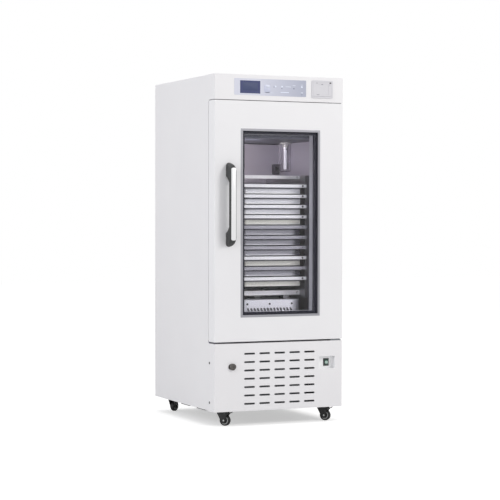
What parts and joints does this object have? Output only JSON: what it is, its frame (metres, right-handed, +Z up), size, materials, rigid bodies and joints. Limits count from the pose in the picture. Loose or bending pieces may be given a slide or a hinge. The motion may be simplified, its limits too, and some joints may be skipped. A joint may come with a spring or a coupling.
{
  "type": "platelet agitator",
  "caption": "Upright cooled cabinet on swivel casters with a glass door and a flat-bed shaker whose sliding trays keep platelet bags moving.",
  "frame": {"origin": "on the floor under the middle of the whole outline, handle included", "axes": "+Z up, -Y out of the door, +X to the right seen from the front"},
  "size_m": [0.6432, 0.786, 1.575],
  "materials": {
    "black_paint": "black enamel",
    "black_plastic": "moulded black nylon",
    "clear_glass": "clear float glass",
    "compressor_black": "black baked enamel",
    "core_foam": "rigid foam with a pale moulded skin",
    "display_lens": "tinted acrylic over a liquid crystal display",
    "door_enamel": "white powder-coated steel, satin",
    "frame_steel": "satin stainless sheet",
    "galvanised": "zinc-coated steel",
    "lamp_glass": "clear guard over a white tube",
    "lock_metal": "dull nickel-plated brass",
    "overlay_film": "printed polyester film, lavender grey",
    "recorder_plastic": "moulded ABS, light grey",
    "rocker_green": "translucent green polycarbonate, lit",
    "screw_steel": "zinc-plated steel",
    "seal_rubber": "grey soft PVC bellows",
    "spacer_black": "black edge band and spacer",
    "stainless": "polished stainless sheet, blurred reflections",
    "strip_silver": "silver-white satin strip",
    "tray_steel": "bright stainless sheet, fine brushed",
    "trim_grey": "satin anodised aluminium",
    "tyre_black": "black rubber-like tread on a plastic hub",
    "white_enamel": "white powder-coated steel, fine orange peel, satin"
  },
  "bodies": {
    "cabinet": {"outer_shell": "white_enamel", "rear_panel": "white_enamel", "power_inlet": "black_plastic", "control_head": "white_enamel", "control_overlay": "overlay_film", "display_window": "display_lens", "recorder_body": "recorder_plastic", "base_front_cover": "white_enamel", "cover_screws": "screw_steel", "lock_ring": "lock_metal", "switch_cup": "white_enamel", "switch_bezel": "black_plastic", "chassis_base": "black_paint", "compressor": "compressor_black", "condenser_coil": "galvanised", "inner_liner": "stainless", "insulation_foam": "core_foam", "duct_panel": "stainless", "evaporator_coil": "galvanised", "chamber_lamp": "lamp_glass", "inner_socket": "black_plastic", "agitator_base": "frame_steel", "agitator_cover": "tray_steel", "drive_motor": "galvanised", "hinge_brackets": "galvanised"},
    "door": {"door_shell": "door_enamel", "door_liner": "core_foam", "window_trim": "trim_grey", "glass_panes": "clear_glass", "glass_spacer": "spacer_black", "door_gasket": "seal_rubber", "handle_frame": "black_plastic", "handle_strip": "strip_silver"},
    "carriage": {"carriage_frame": "frame_steel"},
    "crank": {"eccentric_disc": "galvanised"},
    "recorder_lid": {"recorder_door": "recorder_plastic"},
    "lock_barrel": {"lock_core": "lock_metal"},
    "power_rocker": {"switch_rocker": "rocker_green"},
    "condenser_rotor": {"condenser_fan": "black_plastic"},
    "evaporator_rotor": {"evaporator_fan": "black_plastic"},
    "tray_01_body": {"tray_01": "tray_steel"},
    "tray_02_body": {"tray_02": "tray_steel"},
    "tray_03_body": {"tray_03": "tray_steel"},
    "tray_04_body": {"tray_04": "tray_steel"},
    "tray_05_body": {"tray_05": "tray_steel"},
    "tray_06_body": {"tray_06": "tray_steel"},
    "tray_07_body": {"tray_07": "tray_steel"},
    "tray_08_body": {"tray_08": "tray_steel"},
    "tray_09_body": {"tray_09": "tray_steel"},
    "tray_10_body": {"tray_10": "tray_steel"},
    "caster_front_left": {"caster_fork_front_left": "black_paint"},
    "wheel_front_left": {"caster_wheel_front_left": "tyre_black"},
    "pedal_front_left": {"caster_pedal_front_left": "black_plastic"},
    "caster_front_right": {"caster_fork_front_right": "black_paint"},
    "wheel_front_right": {"caster_wheel_front_right": "tyre_black"},
    "pedal_front_right": {"caster_pedal_front_right": "black_plastic"},
    "caster_rear_left": {"caster_fork_rear_left": "black_paint"},
    "wheel_rear_left": {"caster_wheel_rear_left": "tyre_black"},
    "caster_rear_right": {"caster_fork_rear_right": "black_paint"},
    "wheel_rear_right": {"caster_wheel_rear_right": "tyre_black"}
  },
  "joints": [
    {"name": "door_hinge", "type": "hinge", "parent": "cabinet", "child": "door", "pos_m": [0.308, -0.316, 0.38], "axis": [0, 0, 1], "range_deg": [0, 110]},
    {"name": "carriage_slide", "type": "slide", "parent": "cabinet", "child": "carriage", "axis": [1, 0, 0], "range_m": [-0.038, 0]},
    {"name": "crank_turn", "type": "hinge", "parent": "cabinet", "child": "crank", "pos_m": [0, -0.02, 0.548], "axis": [0, 0, 1], "range_deg": [0, 180]},
    {"name": "tray_slide_01", "type": "slide", "parent": "carriage", "child": "tray_01_body", "axis": [0, -1, 0], "range_m": [0, 0.28]},
    {"name": "tray_slide_02", "type": "slide", "parent": "carriage", "child": "tray_02_body", "axis": [0, -1, 0], "range_m": [0, 0.28]},
    {"name": "tray_slide_03", "type": "slide", "parent": "carriage", "child": "tray_03_body", "axis": [0, -1, 0], "range_m": [0, 0.28]},
    {"name": "tray_slide_04", "type": "slide", "parent": "carriage", "child": "tray_04_body", "axis": [0, -1, 0], "range_m": [0, 0.28]},
    {"name": "tray_slide_05", "type": "slide", "parent": "carriage", "child": "tray_05_body", "axis": [0, -1, 0], "range_m": [0, 0.28]},
    {"name": "tray_slide_06", "type": "slide", "parent": "carriage", "child": "tray_06_body", "axis": [0, -1, 0], "range_m": [0, 0.28]},
    {"name": "tray_slide_07", "type": "slide", "parent": "carriage", "child": "tray_07_body", "axis": [0, -1, 0], "range_m": [0, 0.28]},
    {"name": "tray_slide_08", "type": "slide", "parent": "carriage", "child": "tray_08_body", "axis": [0, -1, 0], "range_m": [0, 0.28]},
    {"name": "tray_slide_09", "type": "slide", "parent": "carriage", "child": "tray_09_body", "axis": [0, -1, 0], "range_m": [0, 0.28]},
    {"name": "tray_slide_10", "type": "slide", "parent": "carriage", "child": "tray_10_body", "axis": [0, -1, 0], "range_m": [0, 0.28]},
    {"name": "recorder_lid_hinge", "type": "hinge", "parent": "cabinet", "child": "recorder_lid", "pos_m": [0.213, -0.3405, 1.4889], "axis": [1, 0, 0], "range_deg": [0, 90]},
    {"name": "lock_turn", "type": "hinge", "parent": "cabinet", "child": "lock_barrel", "pos_m": [-0.2325, -0.338, 0.2685], "axis": [0, -1, 0], "range_deg": [0, 90]},
    {"name": "power_rocker_tilt", "type": "hinge", "parent": "cabinet", "child": "power_rocker", "pos_m": [0.25, -0.31, 0.272], "axis": [1, 0, 0], "range_deg": [0, 16]},
    {"name": "condenser_fan_spin", "type": "hinge", "parent": "cabinet", "child": "condenser_rotor", "pos_m": [0, -0.209, 0.206], "axis": [0, 1, 0], "continuous": true},
    {"name": "evaporator_fan_spin", "type": "hinge", "parent": "cabinet", "child": "evaporator_rotor", "pos_m": [0, 0.27, 0.83], "axis": [0, 1, 0], "continuous": true},
    {"name": "caster_swivel_front_left", "type": "hinge", "parent": "cabinet", "child": "caster_front_left", "pos_m": [-0.252, -0.277, 0.067], "axis": [0, 0, 1], "continuous": true},
    {"name": "wheel_roll_front_left", "type": "hinge", "parent": "caster_front_left", "child": "wheel_front_left", "pos_m": [-0.24445, -0.28633, 0.025], "axis": [0.7771, 0.6293, 0], "continuous": true},
    {"name": "brake_pedal_front_left", "type": "hinge", "parent": "caster_front_left", "child": "pedal_front_left", "pos_m": [-0.2369, -0.29565, 0.0545], "axis": [0.7771, 0.6293, 0], "range_deg": [0, 15], "stiffness_Nm_per_rad": 0.5},
    {"name": "caster_swivel_front_right", "type": "hinge", "parent": "cabinet", "child": "caster_front_right", "pos_m": [0.252, -0.277, 0.067], "axis": [0, 0, 1], "continuous": true},
    {"name": "wheel_roll_front_right", "type": "hinge", "parent": "caster_front_right", "child": "wheel_front_right", "pos_m": [0.25955, -0.28633, 0.025], "axis": [0.7771, 0.6293, 0], "continuous": true},
    {"name": "brake_pedal_front_right", "type": "hinge", "parent": "caster_front_right", "child": "pedal_front_right", "pos_m": [0.2671, -0.29565, 0.0545], "axis": [0.7771, 0.6293, 0], "range_deg": [0, 15], "stiffness_Nm_per_rad": 0.5},
    {"name": "caster_swivel_rear_left", "type": "hinge", "parent": "cabinet", "child": "caster_rear_left", "pos_m": [-0.252, 0.328, 0.067], "axis": [0, 0, 1], "continuous": true},
    {"name": "wheel_roll_rear_left", "type": "hinge", "parent": "caster_rear_left", "child": "wheel_rear_left", "pos_m": [-0.24254, 0.33539, 0.025], "axis": [-0.6157, 0.788, 0], "continuous": true},
    {"name": "caster_swivel_rear_right", "type": "hinge", "parent": "cabinet", "child": "caster_rear_right", "pos_m": [0.252, 0.328, 0.067], "axis": [0, 0, 1], "continuous": true},
    {"name": "wheel_roll_rear_right", "type": "hinge", "parent": "caster_rear_right", "child": "wheel_rear_right", "pos_m": [0.26146, 0.33539, 0.025], "axis": [-0.6157, 0.788, 0], "continuous": true}
  ],
  "couplings": [
    {"joint": "crank_turn", "follows": "carriage_slide", "rad_per_m": -82.673},
    {"joint": "tray_slide_01", "follows": "door_hinge", "m_per_rad": 0.14584},
    {"joint": "tray_slide_02", "follows": "door_hinge", "m_per_rad": 0.14584},
    {"joint": "tray_slide_03", "follows": "door_hinge", "m_per_rad": 0.14584},
    {"joint": "tray_slide_04", "follows": "door_hinge", "m_per_rad": 0.14584},
    {"joint": "tray_slide_05", "follows": "door_hinge", "m_per_rad": 0.14584},
    {"joint": "tray_slide_06", "follows": "door_hinge", "m_per_rad": 0.14584},
    {"joint": "tray_slide_07", "follows": "door_hinge", "m_per_rad": 0.14584},
    {"joint": "tray_slide_08", "follows": "door_hinge", "m_per_rad": 0.14584},
    {"joint": "tray_slide_09", "follows": "door_hinge", "m_per_rad": 0.14584},
    {"joint": "tray_slide_10", "follows": "door_hinge", "m_per_rad": 0.14584}
  ]
}
